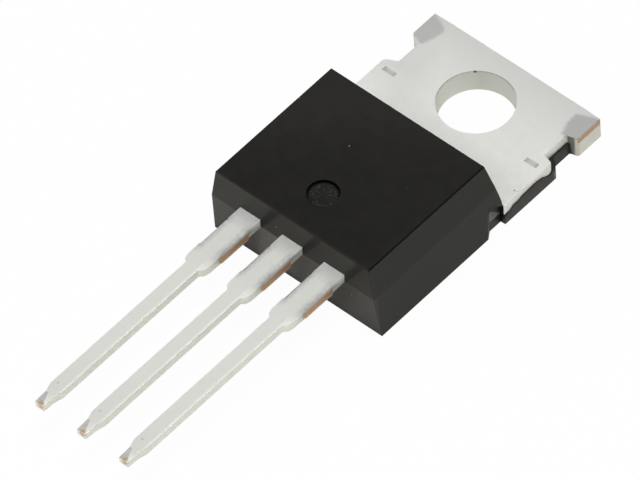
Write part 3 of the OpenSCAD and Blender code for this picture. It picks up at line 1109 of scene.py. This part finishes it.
@dataclass
class MouldedBody:
    """The black body with its side strips, pockets and ejector mark."""

    node: str = "mould_body"
    name: str = "moulded_body"
    half_widths: Point = (5.09, 4.92, 4.635)
    heights: Point = (0.0, 2.64, 4.41)
    foot: float = -3.87
    foot_top: float = 1.6
    foot_draft: float = 0.03
    tab_end_setback: float = 0.69
    lead_end: float = -12.59
    lead_end_setbacks: Point = (0.21, 0.0, 0.08)
    round: float = 0.05
    near: float = 0.012
    strip_height: float = 0.72
    strip_side: float = 4.4
    strip_top: tuple[Span, ...] = (
        (-3.87, 0.52), (-3.72, 0.55), (-3.45, 0.64), (-3.22, 0.78), (-2.85, 0.78), (-2.65, 0.86), (-2.11, 0.90),
        (-1.60, 0.91), (-1.24, 0.85), (-0.98, 0.70), (-0.78, 0.60), (-0.66, 0.60), (-0.56, 0.70),
    )
    ejector_y: float = -10.35
    ejector_depth: float = 0.09
    ejector_lumps: float = 0.012
    ejector_radius: float = 0.78
    ejector_rim_drop: float = 0.06
    edge_sink: float = 0.03
    strip_end: float = 0.07
    left_strip_drop: float = 0.15

    def planes(self) -> list[tuple[Vector, Vector]]:
        """The outer planes of the body.

        Returns:
            A point and an outward normal for each.
        """
        low, _, high = self.heights
        found = [(Vector((0, 0, high)), Vector((0, 0, 1))), (Vector((0, 0, low)), Vector((0, 0, -1)))]
        for a, b in ((0, 1), (1, 2)):
            rise = self.heights[b] - self.heights[a]
            lean = self.half_widths[a] - self.half_widths[b]
            for sign in (-1, 1):
                found.append((Vector((sign * self.half_widths[a], 0, self.heights[a])),
                              Vector((sign * rise, 0, lean)).normalized()))
            lean = self.lead_end_setbacks[b] - self.lead_end_setbacks[a]
            found.append((Vector((0, self.lead_end + self.lead_end_setbacks[a], self.heights[a])),
                          Vector((0, -rise, lean)).normalized()))
        found.append((Vector((0, self.foot, 0)), Vector((0, 1, 0))))
        rise, lean = high - self.foot_top, self.tab_end_setback - self.foot_draft
        found.append((Vector((0, self.foot - self.foot_draft, self.foot_top)),
                      Vector((0, rise, lean)).normalized()))
        return found

    def build(self, compound: bpy.types.Material) -> bpy.types.Object:
        """Makes the body.

        Args:
            compound: Its finish.

        Returns:
            The finished object.
        """
        piece = Workpiece.from_node(self.node, self.name)
        planes = self.planes()

        def on_outline(edge: bmesh.types.BMEdge) -> bool:
            """Whether an edge lies where two outer planes of the body meet.

            Args:
                edge: The edge.

            Returns:
                Whether it does.
            """
            if turn(edge) < 2:
                return False
            for vert in edge.verts:
                near = [abs((middle(vert) - point).dot(normal)) < self.near for point, normal in planes]
                if sum(near) < 2:
                    return False
            return True

        self.raise_strips(piece)
        self.roughen_ejector_mark(piece)
        with piece:
            piece.pick(Pick.EDGES, on_outline)
            piece.bevel(self.round, 3)
            piece.pick(Pick.FACES, self.is_front_edge)
            bpy.ops.mesh.inset(thickness=0.003 * MM, depth=-self.edge_sink * MM)
            piece.pick(Pick.EDGES, self.is_strip_end)
            piece.bevel(self.strip_end, 2)
        piece.smooth()
        piece.dress(compound)
        return piece.hand_in(Slot.COMPOUND, self.node)

    def is_front_edge(self, face: bmesh.types.BMFace) -> bool:
        """Whether a face is on the round of the right long edge of the front face."""
        spot = middle(face)
        return (0.2 < face.normal.z < 0.97 and face.normal.x > 0.2 and abs(face.normal.y) < 0.1
                and spot.x > 4.5 and spot.z > self.heights[2] - 0.07)

    def is_strip_end(self, edge: bmesh.types.BMEdge) -> bool:
        """Whether an edge is an upright corner at the end of the broad part of a side strip."""
        spot = middle(edge)
        return rise(edge) > 0.5 and abs(spot.x) > 4.88 and -0.4 < spot.y < -0.1

    def raise_strips(self, piece: Workpiece) -> None:
        """Gives the side strips their wavy upper edge along the tab.

        Args:
            piece: The piece that holds the body.
        """
        with piece:
            for y, _ in self.strip_top[1:]:
                piece.pick(Pick.FACES, self.is_strip)
                piece.cut((0.0, y, 0.0), (0.0, 1.0, 0.0))
            for y, z in self.strip_top:
                piece.pick(Pick.VERTS, lambda v: self.on_strip(v) and abs(middle(v).y - y) < 0.003
                           and abs(middle(v).x) > 5.0)
                piece.shift(z=z - self.strip_height)
            piece.pick(Pick.VERTS, lambda v: self.on_strip(v) and middle(v).x < -self.strip_side
                       and -0.5 < middle(v).y < 1.4)
            piece.shift(z=-self.left_strip_drop)

    def on_strip(self, vert: bmesh.types.BMVert) -> bool:
        """Whether a vertex is as high as the top of the side strips."""
        return abs(middle(vert).z - self.strip_height) < 0.003

    def is_strip(self, face: bmesh.types.BMFace) -> bool:
        """Whether a face belongs to one of the side strips."""
        return all(abs(x) > self.strip_side and -0.001 < z < self.strip_height + 0.3 and y > self.foot - 0.01
                   for x, y, z in map(middle, face.verts))

    def roughen_ejector_mark(self, piece: Workpiece) -> None:
        """Gives the ejector mark its uneven floor.

        Args:
            piece: The piece that holds the body.
        """
        floor = self.heights[2] - self.ejector_depth
        with piece:
            piece.pick(Pick.FACES, lambda f: abs(middle(f).z - floor) < 0.01 and f.normal.z > 0.99
                       and abs(middle(f).x) < 0.5)
            bpy.ops.mesh.inset(thickness=0.1 * MM)
            bpy.ops.mesh.poke()
            bpy.ops.mesh.subdivide(number_cuts=5)
            bpy.ops.transform.vertex_random(offset=self.ejector_lumps * MM, seed=4)
            piece.pick(Pick.VERTS, lambda v: abs(middle(v).z - floor) < 0.001 and self.on_ejector_rim(v))
            piece.shift(z=-self.ejector_rim_drop)

    def on_ejector_rim(self, vert: bmesh.types.BMVert) -> bool:
        """Whether a vertex stands above the rim of the ejector mark."""
        spot = middle(vert)
        return abs(math.hypot(spot.x, spot.y - self.ejector_y) - self.ejector_radius) < 0.01


@dataclass
class InnerPieces:
    """The chip, its solder and its wires, which keep their solids."""

    finishes: dict[str, PlainMetal] = field(default_factory=lambda: {
        "silicon_chip": PlainMetal("grey_silicon", Slot.SILICON, (0.20, 0.22, 0.25), (0.30, 0.32, 0.35),
                                   metallic=0.2, roughness=0.25, clouds_per_mm=3.0),
        "chip_solder": PlainMetal("dull_solder", Slot.SOLDER, (0.45, 0.45, 0.46), (0.60, 0.60, 0.60),
                                  metallic=0.9, roughness=0.42, clouds_per_mm=8.0),
        "bond_wire": PlainMetal("drawn_aluminium", Slot.WIRE, (0.78, 0.78, 0.79), (0.88, 0.88, 0.88),
                                metallic=1.0, roughness=0.22, clouds_per_mm=12.0),
    })

    def dress(self) -> None:
        """Gives each inner node its finish."""
        for key, finish in self.finishes.items():
            material = finish.paint()
            for name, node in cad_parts.items():
                if key in name:
                    node.material_slots[0].material = material
                    LOG.info("%s: %s", name, finish.name)


@dataclass(frozen=True)
class Lamp:
    """A soft square lamp that looks at the part."""

    name: str
    place: Point
    size: float
    power: float

    def hang(self, aim: Vector) -> None:
        """Puts the lamp up.

        Args:
            aim: The point that it looks at, in metres.
        """
        place = Vector(self.place)
        bpy.ops.object.light_add(type="AREA", location=place)
        lamp = bpy.context.object
        lamp.name = self.name
        lamp.data.shape = "SQUARE"
        lamp.data.size = self.size
        lamp.data.energy = self.power
        lamp.rotation_euler = (aim - place).to_track_quat("-Z", "Y").to_euler()


@dataclass
class Studio:
    """A white floor under even, soft light."""

    front_sky: Colour = (0.45, 0.45, 0.45)
    back_sky: Colour = (0.24, 0.24, 0.24)
    sky_ramp: float = 0.3
    aim: Point = (0.0, -0.010, 0.002)
    floor_size: float = 6.0
    floor_drop: float = 0.02
    lamps: tuple[Lamp, ...] = (
        Lamp("overhead_lamp", (0.12, -0.04, 0.60), 0.25, 2.25),
        Lamp("front_left_lamp", (-0.45, -0.55, 0.50), 0.5, 2.4),
        Lamp("front_right_lamp", (0.55, -0.35, 0.40), 0.5, 0.3),
    )

    def build(self) -> None:
        """Makes the floor, the sky and the lamps."""
        bpy.ops.mesh.primitive_plane_add(size=self.floor_size, location=(0, 0, -self.floor_drop * MM))
        floor = bpy.context.object
        floor.name = "floor"
        floor.data.materials.append(PaleFloor().paint())
        self.build_sky()
        for lamp in self.lamps:
            lamp.hang(Vector(self.aim))
        bpy.context.scene.view_settings.view_transform = "Standard"
        LOG.info("studio: %d lamps", len(self.lamps))

    def build_sky(self) -> None:
        """Makes a sky that is lighter at the front than at the back."""
        board = Board(bpy.data.worlds.new("soft_sky"))
        _, towards_tab, _ = board.axes(board.node("ShaderNodeTexCoord", output="Generated"))
        inputs = {"Value": towards_tab, "From Min": -self.sky_ramp, "From Max": self.sky_ramp}
        blend = board.mix(board.node("ShaderNodeMapRange", inputs=inputs), self.front_sky, self.back_sky)
        bpy.context.scene.world = board.end(board.node("ShaderNodeBackground", inputs={"Color": blend}))


@dataclass(frozen=True)
class PhotoCamera:
    """The photograph's long lens, which looks down on the part from its front right."""

    azimuth: float = 44.69
    elevation: float = 50.28
    roll: float = -4.12
    distance: float = 600.0
    centre: Point = (0.0, -10.0, 2.0)
    off_centre: tuple[float, float] = (-0.490, -0.806)
    lens: float = 743.3

    def build(self) -> None:
        """Makes the camera and gives it to the scene."""
        a, e, r = (math.radians(v) for v in (self.azimuth, self.elevation, self.roll))
        back = Vector((math.sin(a) * math.cos(e), -math.cos(a) * math.cos(e), math.sin(e)))
        level = Vector((0, 0, 1)).cross(back).normalized()
        upright = back.cross(level)
        right = math.cos(r) * level + math.sin(r) * upright
        up = math.cos(r) * upright - math.sin(r) * level
        aim = Vector(self.centre) + right * self.off_centre[0] + up * self.off_centre[1]
        bpy.ops.object.camera_add()
        camera = bpy.context.object
        camera.name = "photo_camera"
        turned = Matrix((right, up, back)).transposed().to_4x4()
        camera.matrix_world = Matrix.Translation((aim + back * self.distance) * MM) @ turned
        camera.data.lens = self.lens
        camera.data.clip_start = 0.05
        camera.data.clip_end = 20.0
        bpy.context.scene.camera = camera


def main() -> None:
    """Builds the part piece by piece, then its studio."""
    logging.basicConfig(level=logging.INFO, format="%(name)s: %(message)s")
    tin = TinnedCopper().paint()
    # the darker finish of the lead points is painted shade
    pressed = ShadedFacetTin().paint()
    pitch = TinnedCopper.lead_pitch
    CoolingTab().build(tin, pressed)
    OuterLead("gate_lead", "left_lead", -pitch).build(tin, pressed)
    OuterLead("source_lead", "right_lead", pitch).build(tin, pressed)
    MouldedBody().build(MouldCompound().paint())
    InnerPieces().dress()
    Studio().build()
    PhotoCamera().build()


if __name__ == "__main__":
    main()
